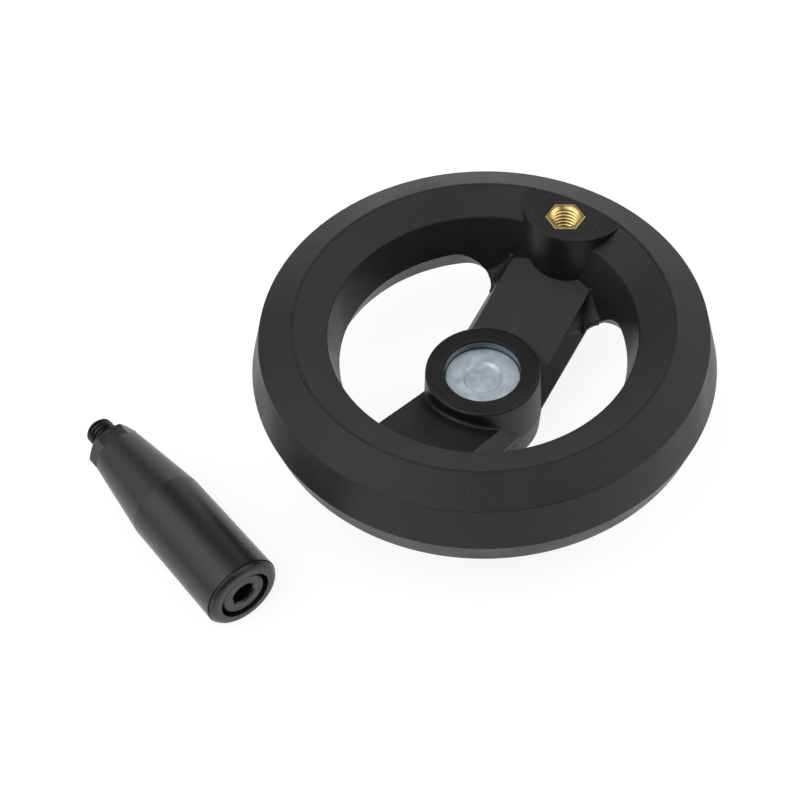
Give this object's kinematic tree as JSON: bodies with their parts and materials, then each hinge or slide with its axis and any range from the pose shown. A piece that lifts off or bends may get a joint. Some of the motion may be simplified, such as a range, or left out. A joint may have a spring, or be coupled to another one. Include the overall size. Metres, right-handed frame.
{
  "type": "machine handwheel",
  "caption": "Black moulded two-spoke machine handwheel with a steel hub bush and a revolving handle, shown taken off its brass-lined boss.",
  "frame": {"origin": "on the wheel's axis at the back face of the hub, which is also the surface that the wheel and the handle lie on", "axes": "+Z along the wheel's axis from the hub's back to its front, +X along the crossbar towards the boss for the handle"},
  "size_m": [0.1593, 0.1492, 0.0437],
  "materials": {
    "wheel_body": "satin glass-filled nylon, fine grain",
    "hub_bush": "zinc plated, turned",
    "handle_insert": "turned",
    "handle_grip": "satin moulded",
    "handle_sleeve": "black oxide",
    "handle_screw": "black oxide"
  },
  "bodies": {
    "wheel": {"wheel_body": "wheel_body", "hub_bush": "hub_bush", "handle_insert": "handle_insert", "handle_sleeve": "handle_sleeve", "handle_screw": "handle_screw"},
    "grip": {"handle_grip": "handle_grip"}
  },
  "joints": [
    {"name": "grip_spin", "type": "hinge", "parent": "wheel", "child": "grip", "pos_m": [-0.08727, 0.01717, 0.01051], "axis": [-0.2974, -0.9547, 0.0058], "continuous": true}
  ]
}
